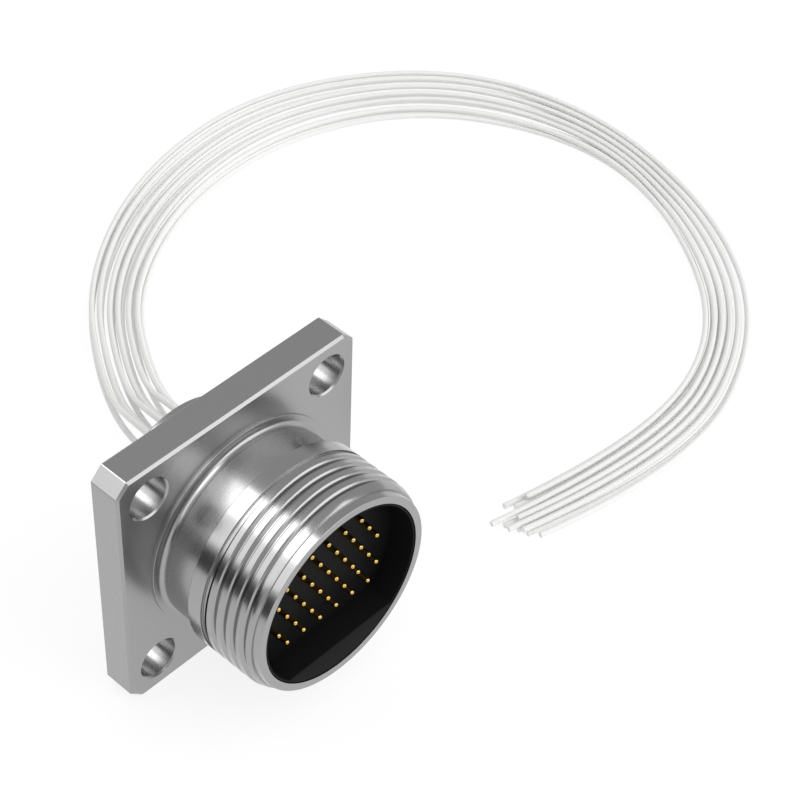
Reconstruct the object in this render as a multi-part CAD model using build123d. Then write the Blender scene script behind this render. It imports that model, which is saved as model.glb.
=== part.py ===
from build123d import *
from math import hypot, radians, tan
import os

os.makedirs("parts", exist_ok=True)

# A panel connector: a square flange and a threaded metal shell turned from one piece, a black
# insulator cup with 37 contacts, and twelve thin leads that leave the rear and lie in a loop.
# Sizes are in millimetres. The shell's axis is Y, the mating end points to -Y and +Z is up.
# The origin is the centre of the flange's rear face, which seats on the panel.

# Flange
FLANGE_SIDE = 20.9
FLANGE_THICKNESS = 2.48
FLANGE_CORNER = 0.93
FLANGE_BEVEL = 0.18
SCREW_EDGE_DISTANCE = 2.58
SCREW_HOLE_DIAMETER = 3.05
SCREW_HOLE_EDGE = 0.12

# Outside of the shell, from the flange forward. Depths are below the thread's crest.
THREAD_DIAMETER = 15.88
RING_PROUD = 0.15
RING_HEIGHT = 0.13
UNDERCUT_LENGTH = 0.49
UNDERCUT_DEPTH = 0.12
FOOT_RADIUS = 0.35
NECK_DEPTH = 0.52
NECK_LENGTH = 2.51
COLLAR_PROUD = 0.015
COLLAR_LENGTH = 1.17
RELIEF_LENGTH = 0.38
RELIEF_DEPTH = 0.16
THREAD_LENGTH = 3.05
NOSE_LENGTH = 0.97
NOSE_DEPTH = 0.29
LIP_LENGTH = 0.58
LIP_STEP = 0.105
LIP_TAPER = 0.085
EDGE_BREAK = 0.05

# Inside of the shell and its rear barrel
SHELL_WALL = 1.06
SEAT_DEPTH = 2.0
BARREL_LENGTH = 3.9
BARREL_WALL = 0.56
BARREL_EDGE = 0.12

# Contacts, in rows from the bottom up on a triangular grid
ROW_COUNTS = (6, 7, 6, 7, 6, 5)
CONTACT_PITCH = 1.507
ARRAY_RISE = 0.51
PIN_DIAMETER = 0.38
PIN_TIP = 0.09
PIN_SETBACK = 1.19
CRIMP_DIAMETER = 0.66
CRIMP_SETBACK = 0.4
DEEP_CONTACT = (1, 5)
DEEP_CONTACT_DROP = 0.2

# Insulators and potting
REAR_INSULATOR_LENGTH = 4.2
CUP_DEPTH = 2.09
CUP_WALL = 0.18
CUP_RECESS = 0.05
KEY_FLAT_HEIGHT = 4.69
KEY_FLAT_EDGE = 0.2
INSULATOR_CLEARANCE = 0.03
REAR_INSULATOR_CLEARANCE = 0.10
CONTACT_CLEARANCE = 0.02
POTTING_RECESS = 0.3
POTTING_MARGIN = 0.14
POTTING_CLEARANCE = 0.01

# Leads
LEAD_DIAMETER = 0.46
LEAD_CLEARANCE = 0.02
ARC_SHARE = 0.45
LEAVING_LENGTH = 9.8             # from the start of a lead to its first bend

# Corner points of the innermost and the outermost lead, from the flange round the loop. The leads come
# down from the rear barrel, so the first corner is above the floor.
FIRST_CORNER_RISE = 4.2
LOOP_INNER = [
    (8.6, 16.0), (16.9, 27.6), (28.1, 33.4), (40.8, 33.5), (51.8, 27.3),
    (57.5, 14.1), (53.9, 2.0), (45.4, -8.0), (32.8, -10.9),
]
LOOP_OUTER = [
    (4.5, 17.4), (14.9, 31.6), (28.1, 39.0), (43.1, 40.0), (56.6, 31.4),
    (61.9, 17.4), (57.9, 1.4), (48.7, -9.7), (33.8, -16.1),
]

# Each lead: its contact's row and place, its layer on the floor, its lane (0 is the innermost and 1 the
# outermost) at every second corner of the loop, and the point where it is cut off
LEADS = [
    (1, 6, 0, (0.02, 0.00, 0.00, 0.02, 0.02), (20.7, -8.2)),
    (0, 5, 0, (0.21, 0.15, 0.14, 0.20, 0.14), (21.2, -8.85)),
    (1, 5, 0, (0.40, 0.38, 0.38, 0.38, 0.27), (21.4, -9.4)),
    (0, 4, 0, (0.60, 0.53, 0.55, 0.58, 0.45), (19.3, -9.5)),
    (1, 4, 0, (0.79, 0.77, 0.76, 0.78, 0.65), (19.7, -10.45)),
    (0, 3, 0, (0.98, 0.92, 0.93, 0.96, 0.85), (19.9, -11.2)),
    (2, 5, 1, (0.10, 0.08, 0.07, 0.10, 0.10), (22.2, -9.0)),
    (3, 5, 1, (0.28, 0.23, 0.30, 0.28, 0.30), (18.4, -9.0)),
    (2, 4, 1, (0.47, 0.45, 0.45, 0.47, 0.45), (20.2, -9.95)),
    (3, 4, 1, (0.62, 0.60, 0.62, 0.66, 0.60), (18.9, -10.2)),
    (2, 3, 1, (0.78, 0.85, 0.85, 0.84, 0.76), (19.6, -11.0)),
    (3, 3, 1, (0.93, 1.00, 1.00, 1.00, 0.96), (20.1, -12.2)),
]

# Places along the axis that follow from the lengths
ring_y = -FLANGE_THICKNESS - RING_HEIGHT
undercut_y = ring_y - UNDERCUT_LENGTH
neck_y = undercut_y - UNDERCUT_DEPTH
collar_y = neck_y - NECK_LENGTH
relief_y = collar_y - COLLAR_LENGTH
thread_y = relief_y - RELIEF_LENGTH
nose_y = thread_y - THREAD_LENGTH
lip_y = nose_y - NOSE_LENGTH
front_y = lip_y - LIP_LENGTH
seat_y = -SEAT_DEPTH
joint_y = seat_y - REAR_INSULATOR_LENGTH
cup_front_y = front_y + CUP_RECESS
cup_floor_y = front_y + CUP_DEPTH
pin_tip_y = front_y + PIN_SETBACK
crimp_y = seat_y - CRIMP_SETBACK
potting_y = BARREL_LENGTH - POTTING_RECESS

# Radii and spacings that follow from the diameters and the flange
screw_spacing = FLANGE_SIDE - 2 * SCREW_EDGE_DISTANCE
thread_r = THREAD_DIAMETER / 2
neck_r = thread_r - NECK_DEPTH
undercut_r = neck_r - UNDERCUT_DEPTH
collar_r = thread_r + COLLAR_PROUD
ring_r = thread_r + RING_PROUD
bore_r = thread_r - SHELL_WALL
cup_r = bore_r - CUP_WALL


def contact_places(row):
    """Return the x and z of each contact in a row, from left to right."""
    count = ROW_COUNTS[row]
    z = ARRAY_RISE + (row - (len(ROW_COUNTS) - 1) / 2) * CONTACT_PITCH * 3**0.5 / 2
    return [((place - (count - 1) / 2) * CONTACT_PITCH, z) for place in range(count)]


all_places = [(row, place) for row in range(len(ROW_COUNTS)) for place in range(ROW_COUNTS[row])]
array_reach = max(hypot(*contact_places(row)[place]) for row, place in all_places)
barrel_bore_r = array_reach + CRIMP_DIAMETER / 2 + POTTING_MARGIN
barrel_r = barrel_bore_r + BARREL_WALL


def push_back(row, place):
    """Return how far a contact sits behind the others."""
    return DEEP_CONTACT_DROP if (row, place) == DEEP_CONTACT else 0.0


def turned(*points):
    """Turn a closed outline of (radius, y) points about the Y axis."""
    return revolve(make_face(Polyline(*points, close=True)), Axis.Y)


def round_bar(radius, start_y, end_y):
    """Return a cylinder along Y between two places."""
    return extrude(Plane.XZ.offset(-end_y) * Circle(radius), end_y - start_y)


def make_shell():
    """Flange, ring, neck, collar, thread crest, nose, lip and rear barrel in one piece."""
    outline = chamfer(Rectangle(FLANGE_SIDE, FLANGE_SIDE).vertices(), FLANGE_CORNER)
    flange = extrude(Plane.XZ * outline, FLANGE_THICKNESS)
    flange = chamfer(flange.faces().sort_by(Axis.Y)[0].edges(), FLANGE_BEVEL)

    nose_r = thread_r - NOSE_DEPTH
    lip_r = nose_r - LIP_STEP
    nose = TangentArc((thread_r, nose_y), (nose_r, lip_y), tangent=(0, -1))
    foot = TangentArc((undercut_r, ring_y - FOOT_RADIUS), (undercut_r + FOOT_RADIUS, ring_y), tangent=(0, 1))
    front = Polyline(
        (nose_r, lip_y), (lip_r, lip_y), (lip_r - LIP_TAPER, front_y), (bore_r, front_y),
        (bore_r, seat_y), (barrel_bore_r, seat_y), (barrel_bore_r, BARREL_LENGTH),
        (barrel_r - BARREL_EDGE, BARREL_LENGTH), (barrel_r, BARREL_LENGTH - BARREL_EDGE),
        (barrel_r, -FLANGE_THICKNESS / 2), (ring_r, -FLANGE_THICKNESS / 2), (ring_r, ring_y),
        (undercut_r + FOOT_RADIUS, ring_y),
    )
    middle = Polyline(
        (undercut_r, ring_y - FOOT_RADIUS), (undercut_r, undercut_y), (neck_r, neck_y), (neck_r, collar_y),
        (collar_r - EDGE_BREAK, collar_y), (collar_r, collar_y - EDGE_BREAK), (collar_r, relief_y),
        (thread_r - RELIEF_DEPTH, relief_y), (thread_r - RELIEF_DEPTH, thread_y),
        (thread_r, thread_y), (thread_r, nose_y),
    )
    body = revolve(make_face(nose + front + foot + middle), Axis.Y)

    hole_r = SCREW_HOLE_DIAMETER / 2
    drill = turned(
        (0, 1), (hole_r, 1), (hole_r, SCREW_HOLE_EDGE - FLANGE_THICKNESS),
        (hole_r + SCREW_HOLE_EDGE, -FLANGE_THICKNESS), (hole_r + SCREW_HOLE_EDGE, ring_y - 1),
        (0, ring_y - 1),
    )
    through = round_bar(bore_r, ring_y, seat_y) + round_bar(barrel_bore_r, seat_y, 0)
    shell = flange - through + body
    for x in (-screw_spacing / 2, screw_spacing / 2):
        for z in (-screw_spacing / 2, screw_spacing / 2):
            shell -= Pos(x, 0, z) * drill
    return shell


def make_contact():
    """One pin contact on the Y axis: the pin, its shoulder and the crimp barrel behind it."""
    pin_r = PIN_DIAMETER / 2
    crimp_r = CRIMP_DIAMETER / 2
    return turned(
        (0, pin_tip_y), (pin_r - PIN_TIP, pin_tip_y), (pin_r, pin_tip_y + PIN_TIP), (pin_r, joint_y),
        (crimp_r, joint_y), (crimp_r, crimp_y), (0, crimp_y),
    )


def make_contact_row(contact, row):
    """The separate contacts of one row."""
    places = contact_places(row)
    copies = [Pos(x, push_back(row, place), z) * contact for place, (x, z) in enumerate(places)]
    return Compound(children=copies)


def contact_holes(radius, start_y, end_y):
    """One hole at each contact, as tools to cut with."""
    places = [contact_places(row)[place] for row, place in all_places]
    return [Pos(x, 0, z) * round_bar(radius, start_y, end_y) for x, z in places]


def make_front_insulator():
    """The cup that shows in the mating end, with its keying flat and a hole for each pin."""
    body = round_bar(bore_r - INSULATOR_CLEARANCE, cup_front_y, joint_y)
    above_flat = Pos(0, 0, bore_r - KEY_FLAT_HEIGHT) * Box(2 * bore_r, 2 * bore_r, 2 * bore_r)
    hollow = round_bar(cup_r, front_y - 1, cup_floor_y) & Pos(0, cup_floor_y, 0) * above_flat
    body -= hollow
    on_flat = body.edges().filter_by(Axis.X).sort_by(Axis.Y)[0]
    body = fillet(on_flat, KEY_FLAT_EDGE)
    return body - contact_holes(PIN_DIAMETER / 2 + CONTACT_CLEARANCE, cup_floor_y - 1, joint_y + 1)


def make_rear_insulator():
    """The insert that carries each contact's crimp barrel and stops at the shell's seat."""
    body = round_bar(bore_r - REAR_INSULATOR_CLEARANCE, joint_y, seat_y)
    return body - contact_holes(CRIMP_DIAMETER / 2 + CONTACT_CLEARANCE, joint_y - 1, seat_y + 1)


def make_potting():
    """The fill in the rear barrel, with a way through for each lead."""
    body = round_bar(barrel_bore_r - POTTING_CLEARANCE, seat_y, potting_y)
    for row, place, layer, lanes, cut_end in LEADS:
        x, z = contact_places(row)[place]
        body -= Pos(x, 0, z) * round_bar(LEAD_DIAMETER / 2 + LEAD_CLEARANCE, seat_y - 1, BARREL_LENGTH)
    return body


def lead_points(row, place, layer, lanes, cut_end):
    """Corner points of one lead. It is straight as far as the end of the potting."""
    x, z = contact_places(row)[place]
    start_y = crimp_y + push_back(row, place)
    floor_z = -FLANGE_SIDE / 2 + LEAD_DIAMETER / 2 + layer * (LEAD_DIAMETER + LEAD_CLEARANCE)
    loop = []
    for corner, (inner, outer) in enumerate(zip(LOOP_INNER, LOOP_OUTER)):
        before, rest = divmod(corner, 2)
        after = min(before + 1, len(lanes) - 1)
        lane = lanes[before] + (lanes[after] - lanes[before]) * rest / 2
        z_here = floor_z + (FIRST_CORNER_RISE if corner == 0 else 0)
        loop.append(Vector(*inner, z_here) * (1 - lane) + Vector(*outer, z_here) * lane)
    return [Vector(x, start_y, z), Vector(x, start_y + LEAVING_LENGTH, z), *loop, Vector(*cut_end, floor_z)]


def corner_radii(points):
    """Radius at each corner, where the arc takes up a fixed share of the shorter run."""
    radii = []
    for before, corner, after in zip(points, points[1:], points[2:]):
        turn = (corner - before).get_angle(after - corner)
        shorter = min((corner - before).length, (after - corner).length)
        radii.append(ARC_SHARE * shorter / tan(radians(turn) / 2))
    return radii


def make_lead(points, radii):
    """A round lead swept along straight runs and tangent arcs."""
    path = FilletPolyline(*points, radius=radii)
    section = Plane(origin=path @ 0, z_dir=path % 0) * Circle(LEAD_DIAMETER / 2)
    lead = sweep(section, path=path)
    section_area = section.area
    print(f"  length {path.length:.1f}, volume against section times length "
          f"{lead.volume / (section_area * path.length):.4f}, "
          f"smallest radius {min(radii):.1f}, largest {max(radii):.1f}")
    return lead


def save(name, shape):
    """Write one named piece."""
    export_step(shape, f"parts/{name}.step")
    print(name)


save("shell", make_shell())
save("front_insulator", make_front_insulator())
save("rear_insulator", make_rear_insulator())
save("potting", make_potting())
single_contact = make_contact()
for row in range(len(ROW_COUNTS)):
    save(f"contact_row_{row + 1}", make_contact_row(single_contact, row))
for number, lead in enumerate(LEADS, start=1):
    corner_points = lead_points(*lead)
    save(f"lead_{number:02d}", make_lead(corner_points, corner_radii(corner_points)))
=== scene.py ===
import math

import bmesh
import bpy
from bpy.props import FloatProperty, FloatVectorProperty, IntProperty, PointerProperty
from mathutils import Matrix, Vector


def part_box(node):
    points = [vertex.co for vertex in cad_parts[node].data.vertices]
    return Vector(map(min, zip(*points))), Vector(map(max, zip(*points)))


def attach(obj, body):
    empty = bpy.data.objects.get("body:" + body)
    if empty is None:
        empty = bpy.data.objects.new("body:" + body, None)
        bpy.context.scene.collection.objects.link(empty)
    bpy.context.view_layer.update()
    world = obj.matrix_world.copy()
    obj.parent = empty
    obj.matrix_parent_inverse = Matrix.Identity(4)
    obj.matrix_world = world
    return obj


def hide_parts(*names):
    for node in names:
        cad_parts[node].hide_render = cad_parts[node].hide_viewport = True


bl_info = {
    "name": "Circular connector with leads",
    "version": (1, 0, 0),
    "blender": (4, 5, 0),
    "location": "View3D > Sidebar > Connector",
    "description": "Builds the looks of a flange mount circular connector and its leads",
    "category": "Object",
}

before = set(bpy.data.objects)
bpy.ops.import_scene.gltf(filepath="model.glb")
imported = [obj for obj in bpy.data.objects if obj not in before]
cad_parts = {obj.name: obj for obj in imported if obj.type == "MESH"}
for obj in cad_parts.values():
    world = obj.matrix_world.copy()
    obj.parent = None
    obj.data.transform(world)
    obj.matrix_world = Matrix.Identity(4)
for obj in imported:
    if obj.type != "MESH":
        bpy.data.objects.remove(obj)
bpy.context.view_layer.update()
MM = 0.001
SHELL_LOW, SHELL_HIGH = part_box("shell")

# The shell's axis is Y. The mating end is the low end and the leads leave at the high end.
FRONT_Y = SHELL_LOW[1]
BARREL_END_Y = SHELL_HIGH[1]
FLOOR_Z = SHELL_LOW[2]
ROUND_STEPS = 320

# Where the collar, the thread, the nose and the lip start, going from the flange to the mating end
COLLAR_Y = -5.73 * MM
THREAD_Y = -7.28 * MM
NOSE_Y = -10.33 * MM
LIP_Y = -11.30 * MM

# Inside: the joint between the insulators, the ends of the crimp barrels, the rear insulator's seat and
# the level of the resin, which the rear barrel's wall holds
JOINT_Y = -6.2 * MM
CRIMP_END_Y = -2.4 * MM
SEAT_Y = -2.0 * MM
RESIN_Y = BARREL_END_Y - 0.3 * MM
BARREL_WALL = 0.56 * MM

# Contacts in each row, from the bottom row up. One contact is seated a little deeper than the others.
ROW_COUNTS = (6, 7, 6, 7, 6, 5)
DEEP_CONTACT = (1, 5)
DEEPER = 0.2 * MM

# A thread groove's centre lies at this place along the axis, and this share of a turn round from +X
GROOVE_Y = -7.963 * MM
GROOVE_TURN = 120 / 360

# Corner points of the innermost and the outermost lead, in millimetres, within about 1.3 mm of the
# solids' route. The first corner is above the floor, because the leads come down from the rear barrel,
# and before it each lead is straight for the leaving length. The layer gap lies between the two layers.
FIRST_CORNER_RISE = 4.2 * MM
LEAVING_LENGTH = 9.8 * MM
LAYER_GAP = 0.02 * MM
LOOP_INNER = [
    (8.6, 16.0), (16.9, 27.6), (28.0, 33.3), (40.6, 33.3), (51.6, 27.1),
    (57.4, 14.1), (54.0, 1.9), (45.6, -8.2), (32.8, -10.9),
]
LOOP_OUTER = [
    (4.5, 17.4), (14.9, 31.6), (27.8, 38.6), (42.3, 39.2), (55.9, 30.6),
    (61.0, 17.1), (57.9, 1.3), (49.2, -10.2), (33.8, -16.1),
]

# Each lead: its contact's row and place, its layer on the floor, its lane from the innermost (0) to the
# outermost (1) at every second corner of the loop, where it is cut off, and its length
LEADS = [
    (1, 6, 0, (0.02, 0.00, 0.00, 0.07, 0.02), (20.7, -8.2), 136.1),
    (0, 5, 0, (0.21, 0.15, 0.14, 0.25, 0.14), (21.2, -8.85), 138.6),
    (1, 5, 0, (0.40, 0.38, 0.38, 0.44, 0.27), (21.4, -9.4), 143.3),
    (0, 4, 0, (0.60, 0.53, 0.55, 0.63, 0.45), (19.3, -9.5), 149.1),
    (1, 4, 0, (0.79, 0.77, 0.76, 0.82, 0.65), (19.7, -10.45), 153.9),
    (0, 3, 0, (0.98, 0.92, 0.93, 1.02, 0.85), (19.9, -11.2), 157.3),
    (2, 5, 1, (0.10, 0.08, 0.09, -0.04, 0.10), (22.2, -9.0), 136.7),
    (3, 5, 1, (0.28, 0.23, 0.33, 0.14, 0.30), (18.4, -9.0), 145.4),
    (2, 4, 1, (0.47, 0.45, 0.48, 0.33, 0.45), (20.2, -9.95), 147.0),
    (3, 4, 1, (0.62, 0.60, 0.66, 0.52, 0.60), (18.9, -10.2), 152.6),
    (2, 3, 1, (0.78, 0.85, 0.85, 0.71, 0.76), (19.6, -11.0), 156.1),
    (3, 3, 1, (0.93, 1.00, 1.00, 0.90, 0.96), (20.1, -12.2), 159.7),
]


def linear(hex_colour):
    """Turn an sRGB hex colour into linear values with alpha."""
    values = [int(hex_colour[i:i + 2], 16) / 255 for i in (1, 3, 5)]
    return [v / 12.92 if v <= 0.04045 else ((v + 0.055) / 1.055) ** 2.4 for v in values] + [1.0]


def add_node(tree, kind, links=(), **settings):
    """Add a node with its sockets' values. Each link is (input, output) and feeds one of its sockets."""
    node = tree.nodes.new(kind)
    for name, value in settings.items():
        node.inputs[name.replace("_", " ")].default_value = value
    for name, output in links:
        tree.links.new(output, node.inputs[name])
    return node


def new_material(name, **surface):
    """Start a material whose main shader has the given values, and return it with its tree and shader."""
    material = bpy.data.materials.new(name)
    material.use_nodes = True
    tree = material.node_tree
    tree.nodes.clear()
    shader = add_node(tree, "ShaderNodeBsdfPrincipled", **surface)
    add_node(tree, "ShaderNodeOutputMaterial", [("Surface", shader.outputs["BSDF"])])
    return material, tree, shader


def nickel_plated_aluminium(settings, finish, low, high):
    """Machined aluminium with a bright nickel plate: neutral grey, softer where it is milled than turned."""
    material, tree, shader = new_material(
        f"nickel_plated_aluminium_{finish}", Base_Color=list(settings.plate_colour) + [1.0], Metallic=1.0
    )
    place = add_node(tree, "ShaderNodeTexCoord")
    # Turning marks run round the axis, about 0.1 mm apart as the tool's feed leaves them
    stretch = add_node(
        tree, "ShaderNodeMapping", [("Vector", place.outputs["Object"])], Scale=(250.0, 9000.0, 250.0)
    )
    marks = add_node(
        tree, "ShaderNodeTexNoise", [("Vector", stretch.outputs["Vector"])], Scale=1.0, Detail=2.0
    )
    rough = add_node(
        tree, "ShaderNodeMapRange", [("Value", marks.outputs["Fac"])], To_Min=low, To_Max=high
    )
    tree.links.new(rough.outputs["Result"], shader.inputs["Roughness"])
    bump = add_node(
        tree, "ShaderNodeBump", [("Height", marks.outputs["Fac"])], Strength=0.10, Distance=0.00001
    )
    tree.links.new(bump.outputs["Normal"], shader.inputs["Normal"])
    return material


def moulded_black_thermoplastic(settings):
    """Glass filled black thermoplastic, injection moulded: deep black with a dull sheen and a fine grain."""
    material, tree, shader = new_material(
        "moulded_black_thermoplastic", Base_Color=list(settings.cup_colour) + [1.0], Roughness=0.45,
        Specular_IOR_Level=0.03,
    )
    place = add_node(tree, "ShaderNodeTexCoord")
    # The mould's grain is about 0.08 mm wide
    grain = add_node(
        tree, "ShaderNodeTexNoise", [("Vector", place.outputs["Object"])], Scale=12000.0, Detail=3.0
    )
    bump = add_node(
        tree, "ShaderNodeBump", [("Height", grain.outputs["Fac"])], Strength=0.08, Distance=0.00001
    )
    tree.links.new(bump.outputs["Normal"], shader.inputs["Normal"])
    return material


def gold_plated_brass(settings):
    """Turned brass with a hard gold plate: warm yellow and smooth."""
    material, tree, shader = new_material(
        "gold_plated_brass", Base_Color=list(settings.gold_colour) + [1.0], Metallic=1.0
    )
    place = add_node(tree, "ShaderNodeTexCoord")
    # Handling wears the shine in spots about 0.17 mm wide
    wear = add_node(
        tree, "ShaderNodeTexNoise", [("Vector", place.outputs["Object"])], Scale=6000.0, Detail=2.0
    )
    rough = add_node(
        tree, "ShaderNodeMapRange", [("Value", wear.outputs["Fac"])], To_Min=0.06, To_Max=0.12
    )
    tree.links.new(rough.outputs["Result"], shader.inputs["Roughness"])
    return material


def cast_epoxy(settings):
    """Black casting epoxy, poured and cured: glossy, with slow waves in its surface."""
    material, tree, shader = new_material(
        "cast_epoxy", Base_Color=list(settings.resin_colour) + [1.0], Roughness=0.18
    )
    place = add_node(tree, "ShaderNodeTexCoord")
    # The waves are about 2 mm long
    waves = add_node(
        tree, "ShaderNodeTexNoise", [("Vector", place.outputs["Object"])], Scale=500.0, Detail=1.0
    )
    bump = add_node(
        tree, "ShaderNodeBump", [("Height", waves.outputs["Fac"])], Strength=0.3, Distance=0.0001
    )
    tree.links.new(bump.outputs["Normal"], shader.inputs["Normal"])
    return material


def extruded_fluoropolymer(settings):
    """Extruded white fluoropolymer insulation: milky, smooth and slightly waxy."""
    material, tree, shader = new_material(
        "extruded_fluoropolymer", Base_Color=list(settings.insulation_colour) + [1.0], IOR=1.36
    )
    place = add_node(tree, "ShaderNodeTexCoord")
    # The die leaves duller and brighter stretches about 0.7 mm long
    draw_lines = add_node(
        tree, "ShaderNodeTexNoise", [("Vector", place.outputs["Object"])], Scale=1500.0, Detail=2.0
    )
    rough = add_node(
        tree, "ShaderNodeMapRange", [("Value", draw_lines.outputs["Fac"])], To_Min=0.26, To_Max=0.38
    )
    tree.links.new(rough.outputs["Result"], shader.inputs["Roughness"])
    return material


def rounded_outline(corners, steps=5):
    """Round the corners of an open outline of (u, v, radius), with points beside each to keep runs flat."""
    points = []
    beside = 0.006 * MM
    last = len(corners) - 1
    for i, (u, v, radius) in enumerate(corners):
        here = Vector((u, v))
        if i in (0, last) or radius == 0:
            points.append(here)
            continue
        back = (Vector(corners[i - 1][:2]) - here).normalized()
        ahead = (Vector(corners[i + 1][:2]) - here).normalized()
        half = back.angle(ahead) / 2
        reach = radius / math.tan(half)
        centre = here + (back + ahead).normalized() * radius / math.sin(half)
        start = here + back * reach - centre
        finish = here + ahead * reach - centre
        points.append(here + back * (reach + beside))
        for step in range(steps + 1):
            points.append(centre + start.slerp(finish, step / steps).normalized() * radius)
        points.append(here + ahead * (reach + beside))
    return points


def ring_of_points(bm, radius, y, steps=ROUND_STEPS, centre=(0.0, 0.0)):
    """Add a circle of points round an axis along Y."""
    x, z = centre
    turns = [2 * math.pi * i / steps for i in range(steps)]
    return [bm.verts.new((x + radius * math.cos(turn), y, z + radius * math.sin(turn))) for turn in turns]


def join_rings(bm, first, second):
    """Close the band between two rings of points with faces."""
    count = len(first)
    for i in range(count):
        bm.faces.new((first[i], first[(i + 1) % count], second[(i + 1) % count], second[i]))


def lathe(bm, outline, steps=ROUND_STEPS, centre=(0.0, 0.0)):
    """Turn an open outline of (radius, y) points about an axis along Y."""
    rings = [ring_of_points(bm, point[0], point[1], steps, centre) for point in outline]
    for first, second in zip(rings, rings[1:]):
        join_rings(bm, first, second)
    return rings


def close_ring(bm, ring):
    """Fill a ring of points with one flat face."""
    bm.faces.new(ring)


def fill_between(bm, loops):
    """Fill the flat area between an outer loop of points and the loops inside it."""
    edges = []
    for loop in loops:
        for i, point in enumerate(loop):
            ahead = loop[(i + 1) % len(loop)]
            edges.append(bm.edges.get((point, ahead)) or bm.edges.new((point, ahead)))
    bmesh.ops.triangle_fill(bm, use_beauty=True, use_dissolve=False, edges=edges)


def finish_mesh(name, bm, material, sharp_angle=20.0):
    """Turn the mesh into an object that rides on the body, smooth except at its edges."""
    bmesh.ops.remove_doubles(bm, verts=bm.verts, dist=0.0002 * MM)
    bmesh.ops.recalc_face_normals(bm, faces=bm.faces)
    mesh = bpy.data.meshes.new(name)
    bm.to_mesh(mesh)
    bm.free()
    mesh.polygons.foreach_set("use_smooth", [True] * len(mesh.polygons))
    mesh.set_sharp_from_angle(angle=math.radians(sharp_angle))
    mesh.materials.append(material)
    piece = bpy.data.objects.new(name, mesh)
    bpy.context.collection.objects.link(piece)
    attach(piece, "root")
    return piece


def contact_places(settings, row):
    """Return the x and z of each contact in a row, from left to right."""
    count = ROW_COUNTS[row]
    middle_row = (len(ROW_COUNTS) - 1) / 2
    z = settings.array_rise + (row - middle_row) * settings.pitch * math.sqrt(3) / 2
    return [((place - (count - 1) / 2) * settings.pitch, z) for place in range(count)]


def extra_depth(row, place):
    """Return how much deeper than the others a contact is seated."""
    return DEEPER if (row, place) == DEEP_CONTACT else 0.0


class ShellSettings(bpy.types.PropertyGroup):
    thread_diameter: FloatProperty(
        name="Thread diameter", description="Across the thread's crests", default=15.88 * MM, unit="LENGTH"
    )
    thread_pitch: FloatProperty(
        name="Thread pitch", description="From one turn to the next", default=0.892 * MM, unit="LENGTH"
    )
    thread_depth: FloatProperty(
        name="Thread depth", description="From crest to root", default=0.30 * MM, unit="LENGTH"
    )
    bore_diameter: FloatProperty(
        name="Bore", description="Inside of the shell", default=13.76 * MM, unit="LENGTH"
    )
    barrel_diameter: FloatProperty(
        name="Rear barrel", description="Outside of the rear barrel", default=11.74 * MM, unit="LENGTH"
    )
    flange_thickness: FloatProperty(
        name="Flange thickness", description="Front to rear", default=2.48 * MM, unit="LENGTH"
    )
    screw_spacing: FloatProperty(
        name="Screw spacing", description="Between neighbouring holes", default=15.74 * MM, unit="LENGTH"
    )
    screw_hole: FloatProperty(
        name="Screw hole", description="Diameter of each hole", default=3.05 * MM, unit="LENGTH"
    )
    plate_colour: FloatVectorProperty(
        name="Plate", description="Colour of the nickel plate", default=linear("#A0A0A0")[:3],
        subtype="COLOR", min=0.0, max=1.0,
    )


class InsulatorSettings(bpy.types.PropertyGroup):
    cup_depth: FloatProperty(
        name="Cup depth", description="From the mating face to the cup's floor", default=2.09 * MM,
        unit="LENGTH",
    )
    cup_wall: FloatProperty(
        name="Cup wall", description="Thickness of the cup's rim", default=0.18 * MM, unit="LENGTH"
    )
    flat_height: FloatProperty(
        name="Keying flat", description="From the axis down to the flat", default=4.69 * MM, unit="LENGTH"
    )
    cup_colour: FloatVectorProperty(
        name="Insulator", description="Colour of the moulding", default=linear("#161616")[:3],
        subtype="COLOR", min=0.0, max=1.0,
    )
    resin_colour: FloatVectorProperty(
        name="Potting", description="Colour of the resin", default=linear("#17181A")[:3],
        subtype="COLOR", min=0.0, max=1.0,
    )


class ContactSettings(bpy.types.PropertyGroup):
    pitch: FloatProperty(
        name="Pitch", description="Between neighbouring contacts", default=1.507 * MM, unit="LENGTH"
    )
    array_rise: FloatProperty(
        name="Array rise", description="Middle of the contacts above the axis", default=0.51 * MM,
        unit="LENGTH",
    )
    pin_diameter: FloatProperty(
        name="Pin", description="Diameter of each pin", default=0.38 * MM, unit="LENGTH"
    )
    pin_setback: FloatProperty(
        name="Setback", description="Tips behind the mating face", default=1.19 * MM, unit="LENGTH"
    )
    gold_colour: FloatVectorProperty(
        name="Gold", description="Colour of the plate", default=linear("#C9A762")[:3],
        subtype="COLOR", min=0.0, max=1.0,
    )


class LeadSettings(bpy.types.PropertyGroup):
    diameter: FloatProperty(
        name="Diameter", description="Across the insulation", default=0.46 * MM, unit="LENGTH"
    )
    smoothness: IntProperty(
        name="Smoothness", description="Steps along each stretch of the curve", default=24, min=4, max=64
    )
    insulation_colour: FloatVectorProperty(
        name="Insulation", description="Colour of the insulation", default=linear("#EBEBEA")[:3],
        subtype="COLOR", min=0.0, max=1.0,
    )


class StageSettings(bpy.types.PropertyGroup):
    lens: FloatProperty(
        name="Lens", description="Focal length in millimetres", default=108.45, unit="CAMERA"
    )
    floor_colour: FloatVectorProperty(
        name="Floor", description="Colour of the floor", default=linear("#808080")[:3],
        subtype="COLOR", min=0.0, max=1.0,
    )


class CONNECTOR_OT_stage(bpy.types.Operator):
    """Camera, floor and lights"""

    bl_idname = "connector.stage"
    bl_label = "Stage"

    def execute(self, context):
        settings = context.scene.connector_stage
        place_camera(context, settings)
        place_floor(settings)
        place_lights(context)
        return {"FINISHED"}


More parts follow.
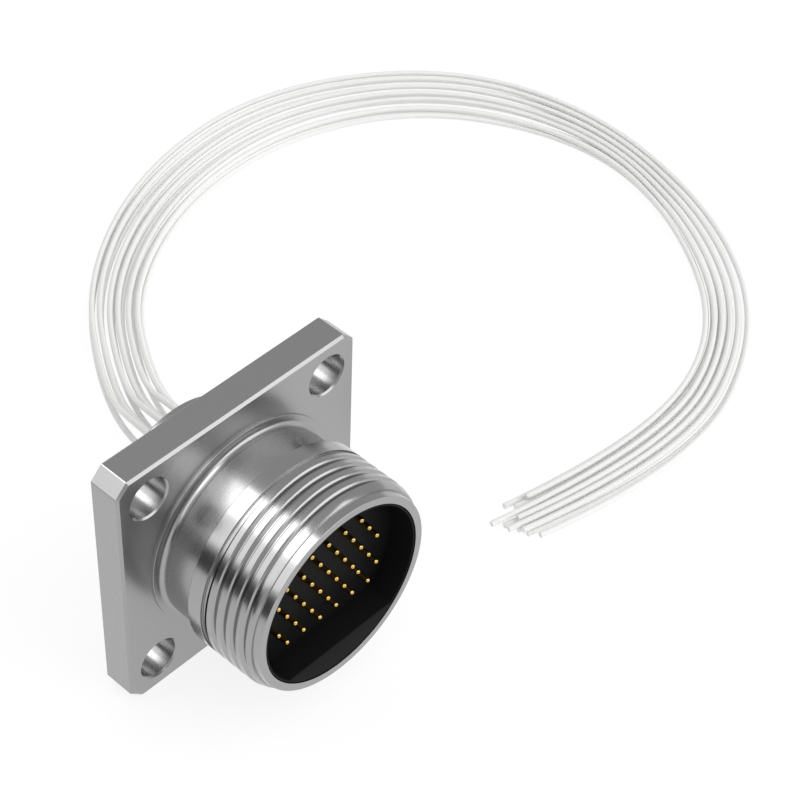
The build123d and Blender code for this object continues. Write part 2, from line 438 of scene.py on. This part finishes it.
def place_camera(context, settings):
    """A long lens above and to the left of the mating end, a little rolled."""
    azimuth, elevation, roll = (math.radians(a) for a in (-48.13, 44.79, 2.48))
    level_share = math.cos(elevation)
    towards = Vector(
        (math.sin(azimuth) * level_share, -math.cos(azimuth) * level_share, math.sin(elevation))
    )
    level = Vector((0, 0, 1)).cross(towards).normalized()
    upright = towards.cross(level)
    right = level * math.cos(roll) + upright * math.sin(roll)
    up = upright * math.cos(roll) - level * math.sin(roll)
    # The flange's rear centre lies this far right of, above and beyond the lens, in millimetres
    offset = (-12.296, -6.640, 161.694)
    place = (-right * offset[0] - up * offset[1] + towards * offset[2]) * MM
    data = bpy.data.cameras.new("camera")
    data.lens = settings.lens
    data.sensor_width = 36.0
    data.clip_start = 0.01
    data.clip_end = 10.0
    camera = bpy.data.objects.new("camera", data)
    axes = Matrix((right, up, towards)).transposed()
    camera.matrix_world = Matrix.Translation(place) @ axes.to_4x4()
    context.collection.objects.link(camera)
    context.scene.camera = camera


def place_floor(settings):
    """A plain pale floor at the foot of the flange, lit a little from below so that shadows stay faint."""
    bpy.ops.mesh.primitive_plane_add(size=6.0, location=(0, 0, FLOOR_Z))
    floor = bpy.context.object
    floor.name = "floor"
    material = new_material(
        "opal_acrylic", Base_Color=list(settings.floor_colour) + [1.0], Roughness=0.9,
        Emission_Color=(1.0, 1.0, 1.0, 1.0), Emission_Strength=0.82, Specular_IOR_Level=0.0,
    )[0]
    floor.data.materials.append(material)


def softbox(context, name, turn, span, radiance, reach=0.6, start_y=-0.5, end_y=0.8):
    """A long light strip that only shows in gloss, parallel to the axis. Turn goes from +X towards +Z."""
    turn = math.radians(turn)
    data = bpy.data.lights.new(name, "AREA")
    data.shape = "RECTANGLE"
    data.size = 2 * reach * math.tan(math.radians(span) / 2)
    data.size_y = end_y - start_y
    data.energy = radiance * math.pi * data.size * data.size_y
    light = bpy.data.objects.new(name, data)
    towards = Vector((math.cos(turn), 0.0, math.sin(turn)))
    light.location = towards * reach + Vector((0.0, (start_y + end_y) / 2, 0.0))
    light.rotation_euler = (0.0, math.pi / 2 - turn, 0.0)
    light.visible_diffuse = False
    context.collection.objects.link(light)


def square_light(context, name, towards, reach, size, radiance):
    """A square soft light that looks back at the connector from the given direction."""
    towards = Vector(towards).normalized()
    data = bpy.data.lights.new(name, "AREA")
    data.size = size
    data.energy = radiance * math.pi * size**2
    light = bpy.data.objects.new(name, data)
    light.location = towards * reach
    light.rotation_euler = towards.to_track_quat("Z", "Y").to_euler()
    context.collection.objects.link(light)
    return light


def place_lights(context):
    """A pale studio with soft lights, and a dark card low on the left that the camera doesn't see."""
    world = bpy.data.worlds.new("studio")
    context.scene.world = world
    world.use_nodes = True
    tree = world.node_tree
    tree.nodes.clear()
    air = add_node(tree, "ShaderNodeBackground", Color=(1.0, 1.0, 1.0, 1.0), Strength=0.60)
    add_node(tree, "ShaderNodeOutputWorld", [("Surface", air.outputs["Background"])])
    softbox(context, "key_light", turn=110, span=31, radiance=3.3)
    softbox(context, "left_light", turn=142, span=32, radiance=1.3)
    square_light(context, "front_light", towards=(0.45, -0.76, 0.47), reach=0.9, size=0.9, radiance=1.6)
    fill_light = square_light(
        context, "fill_light", towards=(0.0, 0.0, 1.0), reach=0.9, size=1.2, radiance=0.7
    )
    fill_light.visible_glossy = False
    bpy.ops.mesh.primitive_plane_add(size=1.0, location=(-0.12, 0.23, 0.014), rotation=(0, math.pi / 2, 0))
    card = bpy.context.object
    card.name = "dark_card"
    card.scale = (0.048, 0.54, 1.0)
    card.visible_camera = False
    material = new_material("black_card", Base_Color=linear("#3C3C3C"), Roughness=0.9)[0]
    card.data.materials.append(material)
    context.scene.view_settings.view_transform = "Standard"


class CONNECTOR_OT_leads(bpy.types.Operator):
    """Twelve thin leads from the rear of the connector, laid in a loop on the floor"""

    bl_idname = "connector.leads"
    bl_label = "Leads"

    def execute(self, context):
        settings = context.scene.connector_leads
        contacts = context.scene.connector_contacts
        material = extruded_fluoropolymer(settings)
        for number, lead in enumerate(LEADS, start=1):
            make_lead(settings, contacts, material, number, lead)
        return {"FINISHED"}


def lead_route(settings, contacts, row, place, layer, lanes, cut_end):
    """Corner points of one lead in metres, straight to the end of the potting and then down."""
    x, z = contact_places(contacts, row)[place]
    start_y = CRIMP_END_Y + extra_depth(row, place)
    floor_z = FLOOR_Z + settings.diameter / 2 + layer * (settings.diameter + LAYER_GAP)
    route = [Vector((x, start_y, z)), Vector((x, start_y + LEAVING_LENGTH, z))]
    for corner, (inner, outer) in enumerate(zip(LOOP_INNER, LOOP_OUTER)):
        before, rest = divmod(corner, 2)
        after = min(before + 1, len(lanes) - 1)
        lane = lanes[before] + (lanes[after] - lanes[before]) * rest / 2
        point = Vector(inner).lerp(Vector(outer), lane) * MM
        rise = FIRST_CORNER_RISE if corner == 0 else 0.0
        route.append(Vector((point.x, point.y, floor_z + rise)))
    route.append(Vector((cut_end[0] * MM, cut_end[1] * MM, floor_z)))
    return route


def make_lead(settings, contacts, material, number, lead):
    """One lead as a smooth curve with a round section and a flat cut end."""
    row, place, layer, lanes, cut_end, length = lead
    route = lead_route(settings, contacts, row, place, layer, lanes, cut_end)
    name = f"lead_{number:02d}"
    data = bpy.data.curves.new(f"{name}_insulation", "CURVE")
    data.dimensions = "3D"
    data.bevel_depth = settings.diameter / 2
    data.bevel_resolution = 6
    data.use_fill_caps = True
    data.resolution_u = settings.smoothness
    spline = data.splines.new("NURBS")
    spline.points.add(len(route) - 1)
    for point, corner in zip(spline.points, route):
        point.co = (*corner, 1.0)
    spline.order_u = 3
    spline.use_endpoint_u = True
    data.materials.append(material)
    piece = bpy.data.objects.new(f"{name}_insulation", data)
    bpy.context.collection.objects.link(piece)
    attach(piece, "root")
    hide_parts(name)


class CONNECTOR_OT_shell(bpy.types.Operator):
    """The metal shell with its flange, neck, collar, coupling thread and rear barrel"""

    bl_idname = "connector.shell"
    bl_label = "Shell"

    def execute(self, context):
        settings = context.scene.connector_shell
        bm = bmesh.new()
        add_flange(bm, settings)
        add_body(bm, settings)
        add_thread(bm, settings)
        add_nose(bm, settings)
        piece = finish_mesh("turned_shell", bm, nickel_plated_aluminium(settings, "turned", 0.15, 0.23))
        piece.data.materials.append(nickel_plated_aluminium(settings, "milled", 0.22, 0.31))
        # The flange, the neck and the rear barrel are softer than the collar and the thread
        for face in piece.data.polygons:
            if face.center.y > COLLAR_Y + 0.01 * MM:
                face.material_index = 1
        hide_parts("shell")
        return {"FINISHED"}


def cut_corner_square(bm, side, corner, y, inset=0.0, soft=0.04 * MM):
    """Add the points of a square with cut corners, each of its eight corners slightly rounded."""
    half = side / 2 - inset
    cut = corner - inset * (2 - math.sqrt(2))
    ends = [
        (half, half - cut), (half - cut, half), (-half + cut, half), (-half, half - cut),
        (-half, -half + cut), (-half + cut, -half), (half - cut, -half), (half, -half + cut),
    ]
    points = []
    for i, here in enumerate(ends):
        here = Vector(here)
        for other in (ends[i - 1], ends[(i + 1) % 8]):
            points.append(here + (Vector(other) - here).normalized() * soft)
    return [bm.verts.new((p.x, y, p.y)) for p in points]


def add_flange(bm, settings):
    """The square flange: bevelled front edge, cut corners and four screw holes."""
    side = SHELL_HIGH[0] - SHELL_LOW[0]
    corner = 0.93 * MM
    bevel = 0.18 * MM
    rear_break = 0.04 * MM
    front_y = -settings.flange_thickness
    ring_radius = settings.thread_diameter / 2 + 0.15 * MM
    hole_radius = settings.screw_hole / 2
    hole_edge = 0.12 * MM
    loops = [
        cut_corner_square(bm, side, corner, front_y, bevel),
        cut_corner_square(bm, side, corner, front_y + bevel),
        cut_corner_square(bm, side, corner, -rear_break),
        cut_corner_square(bm, side, corner, 0.0, rear_break),
    ]
    for first, second in zip(loops, loops[1:]):
        join_rings(bm, first, second)
    front_holes = []
    rear_holes = []
    for x in (-settings.screw_spacing / 2, settings.screw_spacing / 2):
        for z in (-settings.screw_spacing / 2, settings.screw_spacing / 2):
            wall = [
                (hole_radius + hole_edge, front_y), (hole_radius, front_y + hole_edge),
                (hole_radius, -rear_break), (hole_radius + rear_break, 0.0),
            ]
            rings = lathe(bm, wall, steps=96, centre=(x, z))
            front_holes.append(rings[0])
            rear_holes.append(rings[-1])
    ring = ring_of_points(bm, ring_radius, front_y)
    barrel = ring_of_points(bm, settings.barrel_diameter / 2, 0.0)
    fill_between(bm, [loops[0], ring] + front_holes)
    fill_between(bm, [loops[-1], barrel] + rear_holes)


def add_body(bm, settings):
    """The turned forms between the flange and the thread, and the rear barrel with its bore."""
    crest = settings.thread_diameter / 2
    flange_y = -settings.flange_thickness
    neck = crest - 0.52 * MM
    undercut = neck - 0.12 * MM
    collar = crest + 0.015 * MM
    ring_y = flange_y - 0.13 * MM
    relief_y = -6.90 * MM
    undercut_end_y = -3.16 * MM
    slope = 0.06 * MM
    relief = crest - 0.16 * MM
    outline = rounded_outline([
        (crest + 0.15 * MM, flange_y, 0), (crest + 0.15 * MM, ring_y, 0.03 * MM),
        (undercut, ring_y, 0.35 * MM), (undercut, undercut_end_y + slope, 0),
        (neck, undercut_end_y - slope, 0.02 * MM), (neck, COLLAR_Y, 0.03 * MM),
        (collar, COLLAR_Y, 0.05 * MM), (collar, relief_y, 0.03 * MM),
        (relief, relief_y, 0.03 * MM), (relief, THREAD_Y, 0.03 * MM), (crest, THREAD_Y, 0),
    ])
    lathe(bm, outline)
    barrel = settings.barrel_diameter / 2
    inside = barrel - BARREL_WALL
    lathe(bm, rounded_outline([
        (barrel, 0.0, 0), (barrel, BARREL_END_Y, 0.12 * MM), (inside, BARREL_END_Y, 0.04 * MM),
        (inside, RESIN_Y, 0), (inside, SEAT_Y, 0), (settings.bore_diameter / 2, SEAT_Y, 0),
        (settings.bore_diameter / 2, FRONT_Y, 0),
    ]))


def nose_radius(settings, y):
    """Radius of the plain form at a place along the thread and the rounded nose in front of it."""
    crest = settings.thread_diameter / 2
    if y >= NOSE_Y:
        return crest
    # The nose is an arc that drops this much over this length
    length = 0.97 * MM
    drop = 0.29 * MM
    bend = (length**2 + drop**2) / (2 * drop)
    return crest - bend + math.sqrt(max(bend**2 - (NOSE_Y - y) ** 2, 0.0))


def add_thread(bm, settings):
    """The right hand coupling thread, cut into the plain form until it runs out on the nose."""
    crest = settings.thread_diameter / 2
    pitch = settings.thread_pitch
    # Widths of the groove's mouth and root as shares of the pitch, and how its flanks curve
    mouth = 0.57
    root = 0.08
    flank_curve = 1.4

    def surface(y, turn):
        place = (GROOVE_Y - y) / pitch - (turn - GROOVE_TURN)
        away = abs(place - round(place))
        depth = min(max((mouth / 2 - away) / (mouth / 2 - root / 2), 0.0), 1.0) ** flank_curve
        return min(nose_radius(settings, y), crest - settings.thread_depth * depth)

    # Places across a groove where points are added, as shares of the pitch from its centre
    marks = [
        -mouth / 2, -0.26, -0.23, -0.19, -0.14, -0.09, -root / 2, 0.0, root / 2, 0.09, 0.14, 0.19, 0.23, 0.26,
        mouth / 2, 0.34, 0.42, 0.50, 0.58, 0.66,
    ]
    # More grooves than fit, so that they cover the thread all the way round. What lies past an end is
    # pressed onto it.
    grooves = range(-2, 7)
    columns = []
    for step in range(ROUND_STEPS + 1):
        turn = step / ROUND_STEPS
        column = []
        for groove in grooves:
            for mark in marks:
                y = GROOVE_Y - (groove + mark + turn - GROOVE_TURN) * pitch
                y = min(max(y, LIP_Y), THREAD_Y)
                radius = surface(y, turn)
                angle = 2 * math.pi * turn
                column.append(bm.verts.new((radius * math.cos(angle), y, radius * math.sin(angle))))
        columns.append(column)
    for first, second in zip(columns, columns[1:]):
        for i in range(len(first) - 1):
            bm.faces.new((first[i], first[i + 1], second[i + 1], second[i]))


def add_nose(bm, settings):
    """The step at the nose, the lip and the flat rim round the bore."""
    nose = nose_radius(settings, LIP_Y)
    lip = nose - 0.105 * MM
    bore = settings.bore_diameter / 2
    lathe(bm, rounded_outline([
        (nose, LIP_Y, 0), (lip, LIP_Y, 0.02 * MM), (lip - 0.085 * MM, FRONT_Y, 0.04 * MM),
        (bore, FRONT_Y, 0.05 * MM), (bore, FRONT_Y + 0.5 * MM, 0),
    ], steps=4))


class CONNECTOR_OT_front_insulator(bpy.types.Operator):
    """The black insulator cup with its keying flat"""

    bl_idname = "connector.front_insulator"
    bl_label = "Front insulator"

    def execute(self, context):
        settings = context.scene.connector_insulator
        bm = bmesh.new()
        add_cup(bm, settings, context.scene.connector_shell.bore_diameter / 2 - 0.03 * MM)
        material = moulded_black_thermoplastic(settings)
        piece = finish_mesh("insulator_cup", bm, material, 35.0)
        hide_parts("front_insulator")
        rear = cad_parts["rear_insulator"]
        for slot in rear.material_slots:
            slot.material = material
        return {"FINISHED"}


def cup_outline(radius, flat, grow=0.0, steps=256):
    """Points of a circle with a flat across its foot, evenly spread along the arc and along the flat."""
    radius += grow
    flat += grow
    corner = math.asin(flat / radius)
    start = -corner
    sweep = math.pi + 2 * corner
    points = []
    for i in range(steps):
        angle = start + sweep * i / steps
        points.append((radius * math.cos(angle), radius * math.sin(angle)))
    half = radius * math.cos(corner)
    flat_steps = steps // 3
    for i in range(flat_steps):
        points.append((-half + 2 * half * i / flat_steps, -flat))
    return points


def add_cup(bm, settings, outer):
    """The cup: outside, rim, rounded mouth, wall and floor."""
    front_y = FRONT_Y + 0.05 * MM
    floor_y = FRONT_Y + settings.cup_depth
    corner = 0.03 * MM
    inner = outer - settings.cup_wall + corner
    edge = 0.07 * MM
    edge_steps = 4
    levels = []
    for step in range(edge_steps + 1):
        angle = math.pi / 2 * step / edge_steps
        levels.append((edge * (1 - math.sin(angle)), front_y + edge * (1 - math.cos(angle))))
    levels.append((0.0, floor_y))
    loops = []
    for grow, y in levels:
        outline = cup_outline(inner, settings.flat_height, grow)
        loops.append([bm.verts.new((x, y, z)) for x, z in outline])
    for first, second in zip(loops, loops[1:]):
        join_rings(bm, first, second)
    close_ring(bm, loops[-1])
    rim = ring_of_points(bm, outer - corner, front_y)
    fill_between(bm, [rim, loops[0]])
    outside = [(outer - corner, front_y), (outer, front_y + corner), (outer, JOINT_Y)]
    rings = lathe(bm, outside)
    close_ring(bm, rings[-1])


class CONNECTOR_OT_contacts(bpy.types.Operator):
    """37 pin contacts in six rows, with domed tips"""

    bl_idname = "connector.contacts"
    bl_label = "Contacts"

    def execute(self, context):
        settings = context.scene.connector_contacts
        material = gold_plated_brass(settings)
        for row in range(len(ROW_COUNTS)):
            bm = bmesh.new()
            for place, spot in enumerate(contact_places(settings, row)):
                add_contact(bm, settings, spot, extra_depth(row, place))
            piece = finish_mesh(f"contact_pins_{row + 1}", bm, material, 35.0)
            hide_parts(f"contact_row_{row + 1}")
        return {"FINISHED"}


def add_contact(bm, settings, spot, deeper):
    """One contact: dome, pin, shoulder and crimp barrel."""
    radius = settings.pin_diameter / 2
    tip_y = FRONT_Y + settings.pin_setback + deeper
    joint_y = JOINT_Y + deeper
    crimp_radius = 0.33 * MM
    end_y = CRIMP_END_Y + deeper
    outline = []
    dome_steps = 8
    for step in range(1, dome_steps + 1):
        angle = math.pi / 2 * step / dome_steps
        outline.append((radius * math.sin(angle), tip_y + radius * (1 - math.cos(angle))))
    outline += [(radius, joint_y), (crimp_radius, joint_y), (crimp_radius, end_y)]
    rings = lathe(bm, outline, steps=32, centre=spot)
    close_ring(bm, rings[0])
    close_ring(bm, rings[-1])


class CONNECTOR_OT_potting(bpy.types.Operator):
    """The resin in the rear barrel, drawn up a little round its edge"""

    bl_idname = "connector.potting"
    bl_label = "Potting"

    def execute(self, context):
        settings = context.scene.connector_insulator
        radius = context.scene.connector_shell.barrel_diameter / 2 - BARREL_WALL - 0.01 * MM
        climb = 0.14 * MM
        steps = 24
        outline = [(0.02 * MM, RESIN_Y)]
        for step in range(1, steps + 1):
            share = step / steps
            outline.append((radius * share, RESIN_Y + climb * share**8))
        outline.append((radius, SEAT_Y))
        bm = bmesh.new()
        rings = lathe(bm, outline, steps=128)
        close_ring(bm, rings[0])
        close_ring(bm, rings[-1])
        piece = finish_mesh("potting_resin", bm, cast_epoxy(settings), 40.0)
        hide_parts("potting")
        return {"FINISHED"}


class CONNECTOR_PT_panel(bpy.types.Panel):
    """The connector's sizes, colours and build steps"""

    bl_label = "Connector"
    bl_idname = "CONNECTOR_PT_panel"
    bl_space_type = "VIEW_3D"
    bl_region_type = "UI"
    bl_category = "Connector"

    def draw(self, context):
        for group in SETTINGS:
            box = self.layout.box()
            settings = getattr(context.scene, group)
            for name in settings.__annotations__:
                box.prop(settings, name)
        for step in STEPS:
            self.layout.operator(step.bl_idname)


SETTINGS = {
    "connector_stage": StageSettings,
    "connector_leads": LeadSettings,
    "connector_shell": ShellSettings,
    "connector_insulator": InsulatorSettings,
    "connector_contacts": ContactSettings,
}
STEPS = (
    CONNECTOR_OT_stage, CONNECTOR_OT_leads, CONNECTOR_OT_shell, CONNECTOR_OT_front_insulator,
    CONNECTOR_OT_contacts, CONNECTOR_OT_potting,
)


def register():
    for group, settings in SETTINGS.items():
        bpy.utils.register_class(settings)
        setattr(bpy.types.Scene, group, PointerProperty(type=settings))
    for item in STEPS + (CONNECTOR_PT_panel,):
        bpy.utils.register_class(item)


def unregister():
    for item in reversed(STEPS + (CONNECTOR_PT_panel,)):
        bpy.utils.unregister_class(item)
    for group, settings in SETTINGS.items():
        delattr(bpy.types.Scene, group)
        bpy.utils.unregister_class(settings)


def main():
    """Build the stage and every piece."""
    register()
    bpy.ops.connector.stage()
    bpy.ops.connector.leads()
    bpy.ops.connector.shell()
    bpy.ops.connector.front_insulator()
    bpy.ops.connector.contacts()
    bpy.ops.connector.potting()


if __name__ == "__main__":
    main()
